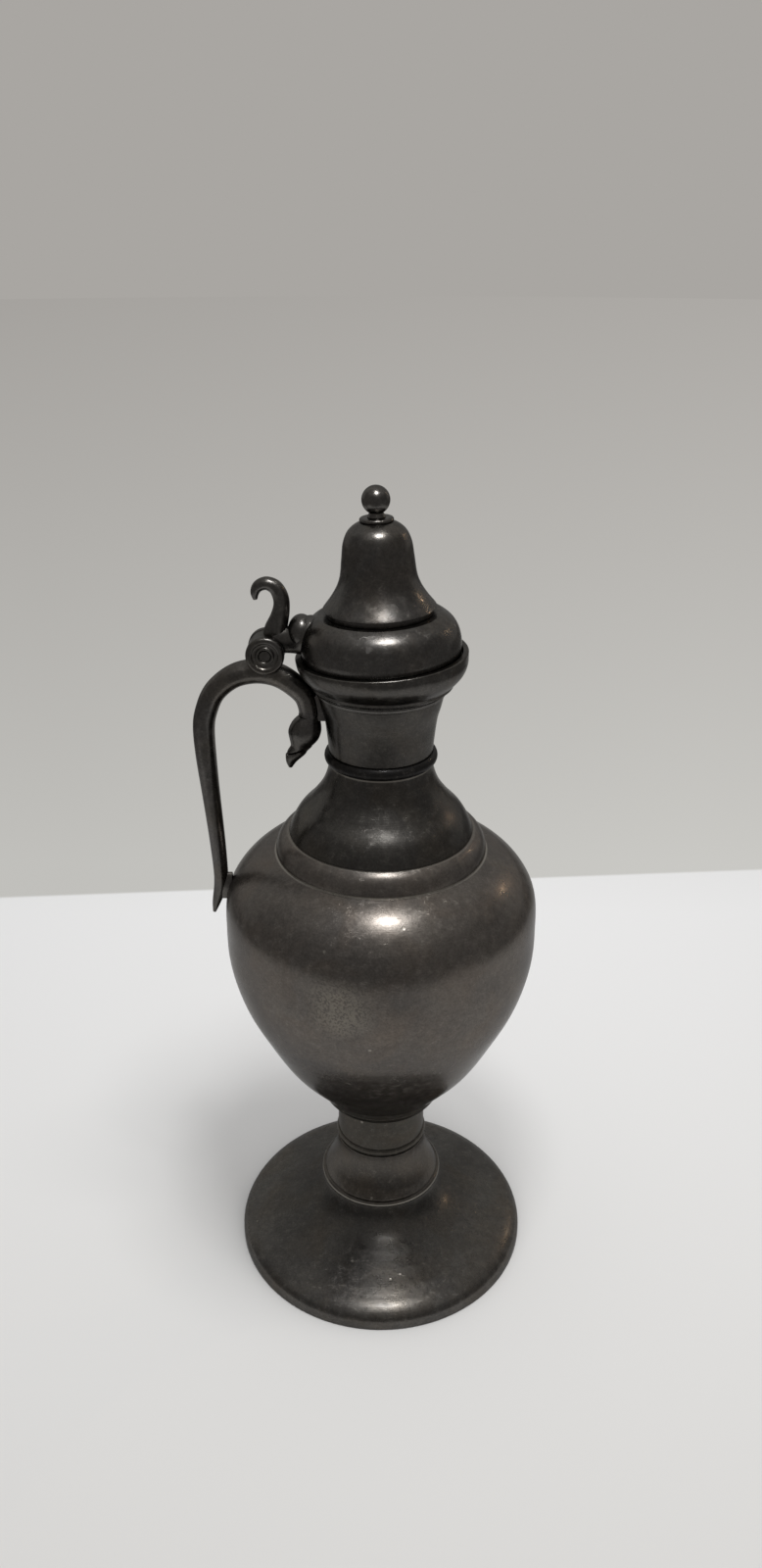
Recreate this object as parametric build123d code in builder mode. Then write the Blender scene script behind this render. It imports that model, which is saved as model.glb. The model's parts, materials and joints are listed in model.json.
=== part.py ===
from build123d import *
import os
from math import cos, hypot, radians, sin

# Pewter jug with a hinged lid, built as its separate castings and turnings.
# Millimetres. +Z is up and the origin is the centre of the foot's underside.
# The handle is on the -X side, the pouring lip on the +X side.

os.makedirs("parts", exist_ok=True)

# Walls
wall = 1.8
lid_wall = 1.6

# Foot
foot_radius = 47.6
foot_edge = 1.4          # height of the upright part of the foot's edge
foot_height = 23.0
foot_throat_radius = 16.4
rim_width = 1.9          # width of the ring the foot stands on

# Knop, bead, stem and collar
knop_height = 16.9
knop_lip_radius = 19.6
knop_lip_height = 2.2
knop_radius = 18.9
bead_height = 2.6
bead_swell = 0.6
stem_radius = 14.1
stem_height = 14.5
stem_bore_radius = 12.3
collar_height = 6.3
collar_foot_radius = 17.8
collar_radius = 20.9

# Body
body_foot_radius = 21.9
lower_body_height = 61.7
body_radius = 46.8
upper_body_height = 22.3
shoulder_radius = 31.0
floor_thickness = 2.4

# Shoulder ring, neck, neck ring and throat
shoulder_ring_height = 6.2
shoulder_step = 4.0      # the neck starts this far inside the shoulder ring
neck_height = 21.7
neck_radius = 14.9
neck_ring_height = 3.5
neck_ring_radius = 16.2
throat_height = 17.5
throat_top_radius = 17.8

# Rim cup and the collar below it
cup_collar_height = 2.4
cup_collar_foot_radius = 18.2
cup_collar_radius = 19.4
line_depth = 0.25
cup_foot_radius = 20.1
cup_edge = 0.8           # height of the upright edge at the cup's foot
cup_height = 8.9
cup_radius = 23.9
cup_shift = 0.25         # the cup stands this far towards the pouring lip
mouth_slope = 3.0        # degrees the rim climbs towards the pouring lip
rebate_radius = 22.3
rebate_depth = 1.5
mouth_radius = 20.2
mouth_depth = 3.6
rim_fillet = 0.5

# Lid
lid_lean = 2.0           # degrees the lid leans back towards the handle
lid_shift = 0.1
lid_sink = 1.2           # the lid's lower edge lies this far below the rim
lid_edge_radius = 21.7
cushion_radius = 22.2
cushion_height = 11.2
cushion_top_radius = 16.9
skirt_clearance = 0.4
skirt_depth = 2.6
skirt_wall = 1.5
bell_lift = 1.7          # height of the dark groove under the bell
bell_groove_radius = 14.7
bell_radius = 15.5
bell_waist_radius = 10.2
bell_waist_height = 23.4
bell_shoulder_radius = 9.1
bell_shoulder_height = 30.9
bell_height = 36.0

# Finial
washer_radius = 4.4
washer_height = 1.1
ball_radius = 3.8
ball_neck_radius = 1.9
ball_neck_height = 1.2
stud_radius = 1.4
rivet_radius = 3.2
rivet_height = 1.4

# Hinge
hinge_reach = 7.7        # from the cup's side to the hinge axis
hinge_rise = 0.3         # from the rim's middle height up to the axis
lug_radius = 5.3
lug_thickness = 2.5
knuckle_radius = 5.1
knuckle_width = 5.6
knuckle_gap = 0.15
saddle_clearance = 0.35
pin_radius = 1.5
pin_clearance = 0.05
pin_recess = 0.45
dish_inner_radius = 2.8
dish_outer_radius = 4.2
dish_depth = 0.35

# Handle
handle_thickness = 6.2
handle_width = 7.0
tail_thickness = 4.3
tail_width = 4.8
tail_reach = 1.3         # from the body's side to the middle of the tail
tail_rise = 12.0         # from the body's widest height up to the tail's bend
grip_reach = 18.6        # from the hinge back to the middle of the grip
grip_drop = 22.8         # from the hinge down to it
neck_reach = 5.3         # from the throat's foot to the middle of the bird's neck
head_width = 7.6
strut_width = 3.4
pad_width = 3.6
pad_height = 9.0

# Heights of the seats, from the foot up
knop_seat = foot_height
bead_seat = knop_seat + knop_height
stem_seat = bead_seat + bead_height
collar_seat = stem_seat + stem_height
body_seat = collar_seat + collar_height
body_seam = body_seat + lower_body_height
shoulder_seat = body_seam + upper_body_height
neck_seat = shoulder_seat + shoulder_ring_height
ring_seat = neck_seat + neck_height
throat_seat = ring_seat + neck_ring_height
cup_collar_seat = throat_seat + throat_height
cup_seat = cup_collar_seat + cup_collar_height
mouth_height = cup_seat + cup_height

# Places that hang on those
hinge_x = -(cup_radius + hinge_reach)
hinge_z = mouth_height + hinge_rise
hinge_width = knuckle_width + 2 * (knuckle_gap + lug_thickness)
neck_foot_radius = shoulder_radius - shoulder_step
tail_x = -(body_radius + tail_reach)
tail_z = body_seam + tail_rise
bird_x = -(neck_radius + neck_reach)
bird_z = throat_seat + 11.6

# The lid's own frame: its axis leans back towards the handle
lean = radians(lid_lean)
lid_origin = (lid_shift, 0, mouth_height)
lid_up = (-sin(lean), 0, cos(lean))
lid_profile = Plane(origin=lid_origin, x_dir=(cos(lean), 0, sin(lean)), z_dir=(0, -1, 0))
lid_axis = Axis(lid_origin, lid_up)
slope = radians(mouth_slope)
rim_plane = Plane(
    origin=(0, 0, mouth_height),
    x_dir=(cos(slope), 0, sin(slope)),
    z_dir=(-sin(slope), 0, cos(slope)),
)


def inset(points, depth):
    """The points of an outline moved depth towards its right-hand side as it climbs inwards."""
    moved = []
    for i, (r, z) in enumerate(points):
        before = points[max(i - 1, 0)]
        after = points[min(i + 1, len(points) - 1)]
        run, rise = after[0] - before[0], after[1] - before[1]
        length = hypot(run, rise)
        moved.append((r - depth * rise / length, z + depth * run / length))
    return moved


def between(foot, top, shares):
    """Points from foot to top, each by its share of the way across and of the way up."""
    reach, climb = top[0] - foot[0], top[1] - foot[1]
    return [(foot[0] + across * reach, foot[1] + up * climb) for across, up in shares]


def filled(route):
    """The route with a point added on every stretch, on the curve through its points."""
    full = []
    for i in range(len(route) - 1):
        near, far = route[i], route[i + 1]
        before = route[max(i - 1, 0)]
        after = route[min(i + 2, len(route) - 1)]
        full.append(near)
        full.append(tuple((9 * (b + c) - a - d) / 16 for a, b, c, d in zip(before, near, far, after)))
    full.append(route[-1])
    return full


def station(route, i):
    """The plane square across a route of (x, z, ...) points at its point i."""
    before = route[max(i - 1, 0)]
    after = route[min(i + 1, len(route) - 1)]
    along = Vector(after[0] - before[0], 0, after[1] - before[1])
    return Plane(origin=(route[i][0], 0, route[i][1]), x_dir=(0, 1, 0), z_dir=along)


# Outlines of the turned pieces, each from its foot to its top
foot_outline = between(
    (foot_radius, foot_edge),
    (foot_throat_radius, foot_height),
    [
        (0, 0), (0.007, 0.069), (0.038, 0.139), (0.109, 0.208), (0.228, 0.275), (0.436, 0.377),
        (0.628, 0.481), (0.804, 0.602), (0.917, 0.736), (0.974, 0.87), (1, 1),
    ],
)
lower_body_outline = between(
    (body_foot_radius, body_seat),
    (body_radius, body_seam),
    [(0, 0), (0.373, 0.19), (0.633, 0.384), (0.86, 0.587), (0.987, 0.797), (1, 1)],
)
upper_body_outline = between(
    (body_radius, body_seam),
    (shoulder_radius, shoulder_seat),
    [(0, 0), (0.057, 0.368), (0.266, 0.628), (0.601, 0.848), (1, 1)],
)
neck_outline = between(
    (neck_foot_radius, neck_seat),
    (neck_radius, ring_seat),
    [(0, 0), (0.231, 0.253), (0.554, 0.452), (0.826, 0.668), (0.967, 0.876), (1, 1)],
)
throat_outline = [
    (neck_radius, throat_seat),
    (neck_radius + 0.4, throat_seat + 4.5),
    (throat_top_radius - 1.7, throat_seat + 10.5),
    (throat_top_radius - 0.7, cup_collar_seat - 3.4),
    (throat_top_radius, cup_collar_seat),
]
cup_outline = [
    (cup_foot_radius, cup_seat + cup_edge),
    (cup_radius - 2.2, cup_seat + 2.4),
    (cup_radius - 1.0, cup_seat + 4.0),
    (cup_radius - 0.3, cup_seat + 5.6),
    (cup_radius, cup_seat + 7.4),
]
cushion_outline = [
    (lid_edge_radius, -lid_sink),
    (cushion_radius, 2.2),
    (cushion_radius - 0.6, 6.0),
    (cushion_radius - 1.8, 8.4),
    (cushion_radius - 3.4, 10.0),
    (cushion_top_radius, cushion_height),
]
bell_seat = cushion_height + bell_lift
bell_outline = [
    (bell_radius, bell_seat),
    (bell_radius - 2.3, bell_seat + 3.0),
    (bell_waist_radius + 1.2, bell_seat + 6.0),
    (bell_waist_radius + 0.3, bell_waist_height - 2.0),
    (bell_waist_radius - 0.4, bell_waist_height + 3.0),
    (bell_shoulder_radius, bell_shoulder_height),
    (bell_shoulder_radius - 1.5, bell_height - 2.1),
    (washer_radius, bell_height),
]

# Space inside the jug, from the floor to the mouth
neck_bore = neck_radius - wall
throat_top = (throat_top_radius - wall, cup_collar_seat)
mouth_foot = (mouth_radius - 1.0, cup_seat + 4.8)
belly_inside = inset(lower_body_outline, wall) + inset(upper_body_outline[1:-1], wall)
neck_inside = inset(neck_outline[:-1], wall)
throat_inside = inset(throat_outline[1:-1], wall)
with BuildPart() as inside:
    with BuildSketch(Plane.XZ):
        with BuildLine():
            Spline(*belly_inside, (shoulder_radius - 3.2, shoulder_seat - 0.6))
            Line((shoulder_radius - 3.2, shoulder_seat - 0.6), neck_inside[0])
            Spline(*neck_inside, (neck_bore, ring_seat))
            Line((neck_bore, ring_seat), (neck_bore, throat_seat))
            Spline((neck_bore, throat_seat), *throat_inside, throat_top)
            Polyline(
                throat_top,
                (throat_top[0], cup_seat),
                (throat_top[0] + 2.0, cup_seat + 1.8),
                mouth_foot,
                (mouth_foot[0], mouth_height + 5),
                (0, mouth_height + 5),
                (0, belly_inside[0][1]),
                belly_inside[0],
            )
        make_face()
    revolve(axis=Axis.Z)

# Hollow under the foot, open below, that runs up through the knop and the stem
foot_inside = inset(foot_outline, wall)
with BuildPart() as underside:
    with BuildSketch(Plane.XZ):
        with BuildLine():
            Spline(*foot_inside)
            Polyline(
                foot_inside[-1],
                (stem_bore_radius, knop_seat + 2.5),
                (stem_bore_radius, body_seat),
                (0, body_seat),
                (0, -1),
                (foot_radius - rim_width, -1),
                (foot_radius - rim_width, 0.6),
                foot_inside[0],
            )
        make_face()
    revolve(axis=Axis.Z)


# Foot
with BuildPart() as foot:
    with BuildSketch(Plane.XZ):
        with BuildLine():
            Polyline((0, 0), (foot_radius - 0.2, 0), (foot_radius, 0.3), foot_outline[0])
            Spline(*foot_outline, tangents=[(0, 1), (-0.2, 1)])
            Polyline(foot_outline[-1], (0, foot_height), (0, 0))
        make_face()
    revolve(axis=Axis.Z)
    add(underside.part, mode=Mode.SUBTRACT)
foot.part.label = "foot"
export_step(foot.part, "parts/foot.step")

# Knop with the lip at its lower edge
with BuildPart() as knop:
    lip_top = knop_seat + knop_lip_height
    with BuildSketch(Plane.XZ):
        with BuildLine():
            Line((0, knop_seat), (knop_lip_radius - 0.6, knop_seat))
            ThreePointArc(
                (knop_lip_radius - 0.6, knop_seat),
                (knop_lip_radius, knop_seat + knop_lip_height / 2),
                (knop_lip_radius - 0.7, lip_top),
            )
            Line((knop_lip_radius - 0.7, lip_top), (knop_radius, lip_top + 0.2))
            Spline(
                (knop_radius, lip_top + 0.2),
                (knop_radius - 1.1, lip_top + 2.2),
                (knop_radius - 2.5, lip_top + 5.0),
                (knop_radius - 3.6, lip_top + 8.0),
                (stem_radius + 0.5, bead_seat - 3.6),
                (stem_radius + 0.4, bead_seat),
            )
            Polyline((stem_radius + 0.4, bead_seat), (0, bead_seat), (0, knop_seat))
        make_face()
    revolve(axis=Axis.Z)
    add(underside.part, mode=Mode.SUBTRACT)
knop.part.label = "knop"
export_step(knop.part, "parts/knop.step")

# Bead between knop and stem
with BuildPart() as stem_bead:
    with BuildSketch(Plane.XZ):
        with BuildLine():
            Line((0, bead_seat), (stem_radius + 0.1, bead_seat))
            ThreePointArc(
                (stem_radius + 0.1, bead_seat),
                (stem_radius + bead_swell, bead_seat + bead_height / 2),
                (stem_radius + 0.1, stem_seat),
            )
            Polyline((stem_radius + 0.1, stem_seat), (0, stem_seat), (0, bead_seat))
        make_face()
    revolve(axis=Axis.Z)
    add(underside.part, mode=Mode.SUBTRACT)
stem_bead.part.label = "stem_bead"
export_step(stem_bead.part, "parts/stem_bead.step")

# Stem
with BuildPart() as stem:
    with BuildSketch(Plane.XY.offset(stem_seat)):
        Circle(stem_radius)
        Circle(stem_bore_radius, mode=Mode.SUBTRACT)
    extrude(amount=stem_height)
stem.part.label = "stem"
export_step(stem.part, "parts/stem.step")

# Collar under the body
with BuildPart() as body_collar:
    with BuildSketch(Plane.XZ):
        with BuildLine():
            Line((0, collar_seat), (collar_foot_radius, collar_seat))
            ThreePointArc(
                (collar_foot_radius, collar_seat),
                (0.4 * collar_foot_radius + 0.6 * collar_radius, collar_seat + collar_height / 2),
                (collar_radius, body_seat),
            )
            Polyline((collar_radius, body_seat), (0, body_seat), (0, collar_seat))
        make_face()
    revolve(axis=Axis.Z)
    add(underside.part, mode=Mode.SUBTRACT)
body_collar.part.label = "body_collar"
export_step(body_collar.part, "parts/body_collar.step")

# Lower shell of the body, with the floor
with BuildPart() as lower_body:
    with BuildSketch(Plane.XZ):
        with BuildLine():
            Line((0, body_seat), lower_body_outline[0])
            Spline(*lower_body_outline, tangents=[(1, 1.3), (0, 1)])
            Polyline(lower_body_outline[-1], (0, body_seam), (0, body_seat))
        make_face()
    revolve(axis=Axis.Z)
    add(inside.part, mode=Mode.SUBTRACT)
    with BuildSketch(Plane.XY.offset(body_seat)):
        Circle(body_foot_radius - 0.6)
    extrude(amount=floor_thickness)
lower_body.part.label = "lower_body"
export_step(lower_body.part, "parts/lower_body.step")

# Upper shell of the body
with BuildPart() as upper_body:
    with BuildSketch(Plane.XZ):
        with BuildLine():
            Line((0, body_seam), upper_body_outline[0])
            Spline(*upper_body_outline, tangents=[(0, 1), (-2.1, 1)])
            Polyline(upper_body_outline[-1], (0, shoulder_seat), (0, body_seam))
        make_face()
    revolve(axis=Axis.Z)
    add(inside.part, mode=Mode.SUBTRACT)
upper_body.part.label = "upper_body"
export_step(upper_body.part, "parts/upper_body.step")

# Rounded step on the shoulder
with BuildPart() as shoulder_ring:
    with BuildSketch(Plane.XZ):
        with BuildLine():
            Line((0, shoulder_seat), (shoulder_radius, shoulder_seat))
            ThreePointArc(
                (shoulder_radius, shoulder_seat),
                (shoulder_radius - 1.0, shoulder_seat + 0.6 * shoulder_ring_height),
                (neck_foot_radius + 0.4, neck_seat),
            )
            Polyline((neck_foot_radius + 0.4, neck_seat), (0, neck_seat), (0, shoulder_seat))
        make_face()
    revolve(axis=Axis.Z)
    add(inside.part, mode=Mode.SUBTRACT)
shoulder_ring.part.label = "shoulder_ring"
export_step(shoulder_ring.part, "parts/shoulder_ring.step")

# Neck
with BuildPart() as neck:
    with BuildSketch(Plane.XZ):
        with BuildLine():
            Line((0, neck_seat), neck_outline[0])
            Spline(*neck_outline)
            Polyline(neck_outline[-1], (0, ring_seat), (0, neck_seat))
        make_face()
    revolve(axis=Axis.Z)
    add(inside.part, mode=Mode.SUBTRACT)
neck.part.label = "neck"
export_step(neck.part, "parts/neck.step")

# Ring between neck and throat
with BuildPart() as neck_ring:
    with BuildSketch(Plane.XZ):
        with BuildLine():
            Line((0, ring_seat), (neck_ring_radius - 1.0, ring_seat))
            ThreePointArc(
                (neck_ring_radius - 1.0, ring_seat),
                (neck_ring_radius, ring_seat + neck_ring_height / 2),
                (neck_ring_radius - 1.0, throat_seat),
            )
            Polyline((neck_ring_radius - 1.0, throat_seat), (0, throat_seat), (0, ring_seat))
        make_face()
    revolve(axis=Axis.Z)
    add(inside.part, mode=Mode.SUBTRACT)
neck_ring.part.label = "neck_ring"
export_step(neck_ring.part, "parts/neck_ring.step")

# Throat
with BuildPart() as throat:
    with BuildSketch(Plane.XZ):
        with BuildLine():
            Line((0, throat_seat), throat_outline[0])
            Spline(*throat_outline)
            Polyline(throat_outline[-1], (0, cup_collar_seat), (0, throat_seat))
        make_face()
    revolve(axis=Axis.Z)
    add(inside.part, mode=Mode.SUBTRACT)
throat.part.label = "throat"
export_step(throat.part, "parts/throat.step")

# Hollow collar under the rim cup, with a fine turned line
with BuildPart() as cup_collar:
    collar_middle = (cup_collar_foot_radius + 0.3, cup_collar_seat + cup_collar_height / 2)
    with BuildSketch(Plane.XZ):
        with BuildLine():
            Line((0, cup_collar_seat), (cup_collar_foot_radius, cup_collar_seat))
            ThreePointArc(
                (cup_collar_foot_radius, cup_collar_seat),
                collar_middle,
                (cup_collar_radius, cup_seat),
            )
            Polyline((cup_collar_radius, cup_seat), (0, cup_seat), (0, cup_collar_seat))
        make_face()
    revolve(axis=Axis.Z)
    add(inside.part, mode=Mode.SUBTRACT)
    with BuildSketch(Plane.XZ):
        with Locations(collar_middle):
            Circle(line_depth)
    revolve(axis=Axis.Z, mode=Mode.SUBTRACT)
cup_collar.part.label = "cup_collar"
export_step(cup_collar.part, "parts/cup_collar.step")

# Rim cup: its rim climbs to the pouring lip, and a rebate takes the lid's edge
with BuildPart() as rim_cup:
    cup_profile = Plane(origin=(cup_shift, 0, 0), x_dir=(1, 0, 0), z_dir=(0, -1, 0))
    with BuildSketch(cup_profile):
        with BuildLine():
            Polyline((0, cup_seat), (cup_foot_radius, cup_seat), cup_outline[0])
            Spline(*cup_outline, tangents=[(1.3, 1), (0, 1)])
            Polyline(
                cup_outline[-1], (cup_radius, mouth_height + 4), (0, mouth_height + 4), (0, cup_seat)
            )
        make_face()
    revolve(axis=Axis((cup_shift, 0, 0), (0, 0, 1)))
    split(bisect_by=rim_plane, keep=Keep.BOTTOM)
    rim_edge = rim_cup.faces().sort_by(Axis.Z)[-1].edges()
    fillet(rim_edge, rim_fillet)
    add(inside.part, mode=Mode.SUBTRACT)
    with BuildSketch(lid_profile):
        with BuildLine():
            Polyline(
                (0, -rebate_depth - mouth_depth),
                (mouth_radius, -rebate_depth - mouth_depth),
                (mouth_radius, -rebate_depth),
                (rebate_radius, -rebate_depth),
                (rebate_radius, 6),
                (0, 6),
                close=True,
            )
        make_face()
    revolve(axis=lid_axis, mode=Mode.SUBTRACT)
rim_cup.part.label = "rim_cup"
export_step(rim_cup.part, "parts/rim_cup.step")

# Cushion-shaped lower ring of the lid
skirt_radius = mouth_radius - skirt_clearance
skirt_bore = skirt_radius - skirt_wall
bell_bore = bell_groove_radius - lid_wall
cushion_inside = inset(cushion_outline, lid_wall)
with BuildPart() as cushion_solid:
    with BuildSketch(lid_profile):
        with BuildLine():
            Line((0, -lid_sink), cushion_outline[0])
            Spline(*cushion_outline)
            Polyline(cushion_outline[-1], (0, cushion_height), (0, -lid_sink))
        make_face()
    revolve(axis=lid_axis)
with BuildPart() as lid_cushion:
    add(cushion_solid.part)
    with BuildSketch(lid_profile):
        with BuildLine():
            Spline(*cushion_inside[1:])
            Polyline(
                cushion_inside[-1],
                (bell_bore, cushion_inside[-1][1]),
                (bell_bore, cushion_height + 1),
                (0, cushion_height + 1),
                (0, -lid_sink - 1),
                (skirt_bore, -lid_sink - 1),
                (skirt_bore, -lid_sink + lid_wall),
                (cushion_inside[1][0], -lid_sink + lid_wall),
                cushion_inside[1],
            )
        make_face()
    revolve(axis=lid_axis, mode=Mode.SUBTRACT)
lid_cushion.part.label = "lid_cushion"
export_step(lid_cushion.part, "parts/lid_cushion.step")

# Ring under the lid that centres it in the mouth
with BuildPart() as lid_skirt:
    with BuildSketch(lid_profile):
        with Locations(((skirt_radius + skirt_bore) / 2, -lid_sink - skirt_depth / 2)):
            Rectangle(skirt_wall, skirt_depth)
    revolve(axis=lid_axis)
lid_skirt.part.label = "lid_skirt"
export_step(lid_skirt.part, "parts/lid_skirt.step")

# Bell of the lid
bell_inside = inset(bell_outline, lid_wall)
with BuildPart() as lid_bell:
    with BuildSketch(lid_profile):
        with BuildLine():
            Polyline(
                (0, cushion_height),
                (bell_groove_radius, cushion_height),
                (bell_groove_radius, bell_seat - 0.2),
                (bell_radius - 0.2, bell_seat - 0.2),
                bell_outline[0],
            )
            Spline(*bell_outline)
            Polyline(bell_outline[-1], (0, bell_height), (0, cushion_height))
        make_face()
    revolve(axis=lid_axis)
    with BuildSketch(lid_profile):
        with BuildLine():
            Spline(*bell_inside[1:])
            Polyline(
                bell_inside[-1],
                (0, bell_inside[-1][1]),
                (0, cushion_height - 1),
                (bell_bore, cushion_height - 1),
                (bell_bore, bell_seat),
                bell_inside[1],
            )
        make_face()
    revolve(axis=lid_axis, mode=Mode.SUBTRACT)
    with BuildSketch(lid_profile):
        with Locations((stud_radius / 2, bell_height - 1)):
            Rectangle(stud_radius, 6)
    revolve(axis=lid_axis, mode=Mode.SUBTRACT)
lid_bell.part.label = "lid_bell"
export_step(lid_bell.part, "parts/lid_bell.step")

# Washer under the finial
with BuildPart() as finial_washer:
    with BuildSketch(lid_profile):
        with BuildLine():
            Line((stud_radius, bell_height), (washer_radius, bell_height))
            ThreePointArc(
                (washer_radius, bell_height),
                (washer_radius + 0.2, bell_height + washer_height / 2),
                (washer_radius - 0.5, bell_height + washer_height),
            )
            Polyline(
                (washer_radius - 0.5, bell_height + washer_height),
                (stud_radius, bell_height + washer_height),
                (stud_radius, bell_height),
            )
        make_face()
    revolve(axis=lid_axis)
finial_washer.part.label = "finial_washer"
export_step(finial_washer.part, "parts/finial_washer.step")

# Finial: ball, neck and the stud through the washer and the bell
neck_foot = bell_height + washer_height
ball_height = neck_foot + ball_neck_height + (ball_radius**2 - ball_neck_radius**2) ** 0.5
stud_foot = bell_inside[-1][1] - rivet_height
with BuildPart() as finial:
    with BuildSketch(lid_profile):
        with BuildLine():
            Polyline(
                (0, ball_height + ball_radius),
                (0, stud_foot),
                (stud_radius, stud_foot),
                (stud_radius, neck_foot),
                (ball_neck_radius + 0.6, neck_foot),
                (ball_neck_radius, neck_foot + ball_neck_height),
            )
            ThreePointArc(
                (ball_neck_radius, neck_foot + ball_neck_height),
                (ball_radius, ball_height),
                (0, ball_height + ball_radius),
            )
        make_face()
    revolve(axis=lid_axis)
finial.part.label = "finial"
export_step(finial.part, "parts/finial.step")

# Riveted end of the stud inside the bell
with BuildPart() as finial_rivet:
    with BuildSketch(lid_profile):
        with Locations(((stud_radius + rivet_radius) / 2, stud_foot + rivet_height / 2)):
            Rectangle(rivet_radius - stud_radius, rivet_height)
    revolve(axis=lid_axis)
finial_rivet.part.label = "finial_rivet"
export_step(finial_rivet.part, "parts/finial_rivet.step")

# Hinge, all of it square across the front plane of the hinge
hinge_plane = Plane(origin=(hinge_x, 0, hinge_z), x_dir=(1, 0, 0), z_dir=(0, -1, 0))
lug_face = knuckle_width / 2 + knuckle_gap

# Front lug, dished round the pin
with BuildPart() as front_lug:
    with BuildSketch(hinge_plane.offset(lug_face)):
        Circle(lug_radius)
    extrude(amount=lug_thickness)
    front_edge = front_lug.faces().sort_by(Axis.Y)[0].edges()
    fillet(front_edge, 0.5)
    with BuildSketch(hinge_plane.offset(lug_face + lug_thickness)):
        Circle(dish_outer_radius)
        Circle(dish_inner_radius, mode=Mode.SUBTRACT)
    extrude(amount=-dish_depth, mode=Mode.SUBTRACT)
    with BuildSketch(hinge_plane.offset(lug_face)):
        Circle(pin_radius)
    extrude(amount=lug_thickness, mode=Mode.SUBTRACT)
front_lug.part.label = "front_lug"
export_step(front_lug.part, "parts/front_lug.step")

# Rear lug, the same disc on the other side
with BuildPart() as rear_lug:
    mirror(front_lug.part, about=Plane.XZ)
rear_lug.part.label = "rear_lug"
export_step(rear_lug.part, "parts/rear_lug.step")

# Pin, a little short of the lugs' faces
pin_length = hinge_width - 2 * pin_recess
with BuildPart() as hinge_pin:
    with BuildSketch(hinge_plane.offset(-pin_length / 2)):
        Circle(pin_radius)
    extrude(amount=pin_length)
hinge_pin.part.label = "hinge_pin"
export_step(hinge_pin.part, "parts/hinge_pin.step")

# Knuckle, arm and round boss of the lid: ellipses along X, each x, z, half height, half width
arm_route = [
    (hinge_x + 1.6, hinge_z + 2.3, 3.4, knuckle_width / 2 - 0.2),
    (hinge_x + 4.4, hinge_z + 3.2, 3.8, knuckle_width / 2 - 0.2),
    (hinge_x + 6.9, hinge_z + 3.3, 3.9, 3.0),
    (hinge_x + 9.2, hinge_z + 3.9, 4.7, 4.4),
    (hinge_x + 11.6, hinge_z + 4.4, 5.5, 5.4),
    (hinge_x + 14.2, hinge_z + 4.3, 5.3, 5.4),
]
with BuildPart() as hinge_arm:
    for x, z, half_height, half_width in arm_route:
        with BuildSketch(Plane(origin=(x, 0, z), x_dir=(0, 1, 0), z_dir=(1, 0, 0))):
            Ellipse(half_width, half_height)
    loft()
    for side in (-1, 1):
        with BuildSketch(hinge_plane.offset(side * (knuckle_width / 2 + 3))):
            Circle(lug_radius + saddle_clearance)
        extrude(amount=3, both=True, mode=Mode.SUBTRACT)
    with BuildSketch(hinge_plane.offset(-knuckle_width / 2)):
        Circle(knuckle_radius)
    extrude(amount=knuckle_width)
    with BuildSketch(hinge_plane.offset(-knuckle_width / 2)):
        Circle(pin_radius + pin_clearance)
    extrude(amount=knuckle_width, mode=Mode.SUBTRACT)
    add(cushion_solid.part, mode=Mode.SUBTRACT)
hinge_arm.part.label = "hinge_arm"
export_step(hinge_arm.part, "parts/hinge_arm.step")

# Thumbpiece: a curled horn, each point x, z, half thickness, half width
hook_route = filled([
    (hinge_x + 1.2, hinge_z + 3.0, 2.3, 2.1),
    (hinge_x + 2.8, hinge_z + 6.2, 3.0, 2.4),
    (hinge_x + 4.0, hinge_z + 9.4, 2.6, 2.4),
    (hinge_x + 4.7, hinge_z + 12.6, 2.25, 2.3),
    (hinge_x + 4.5, hinge_z + 15.4, 2.15, 2.2),
    (hinge_x + 3.1, hinge_z + 18.0, 2.0, 2.1),
    (hinge_x + 0.6, hinge_z + 19.0, 1.8, 1.9),
    (hinge_x - 1.6, hinge_z + 18.0, 1.55, 1.7),
    (hinge_x - 2.4, hinge_z + 16.2, 1.15, 1.3),
    (hinge_x - 2.3, hinge_z + 14.6, 0.6, 0.8),
])
with BuildPart() as thumbpiece:
    for i, (x, z, half_thickness, half_width) in enumerate(hook_route):
        with BuildSketch(station(hook_route, i)):
            Ellipse(half_width, half_thickness)
    loft()
    add(hinge_arm.part, mode=Mode.SUBTRACT)
    with BuildSketch(hinge_plane.offset(-hinge_width)):
        Circle(knuckle_radius)
    extrude(amount=2 * hinge_width, mode=Mode.SUBTRACT)
thumbpiece.part.label = "thumbpiece"
export_step(thumbpiece.part, "parts/thumbpiece.step")

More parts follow.
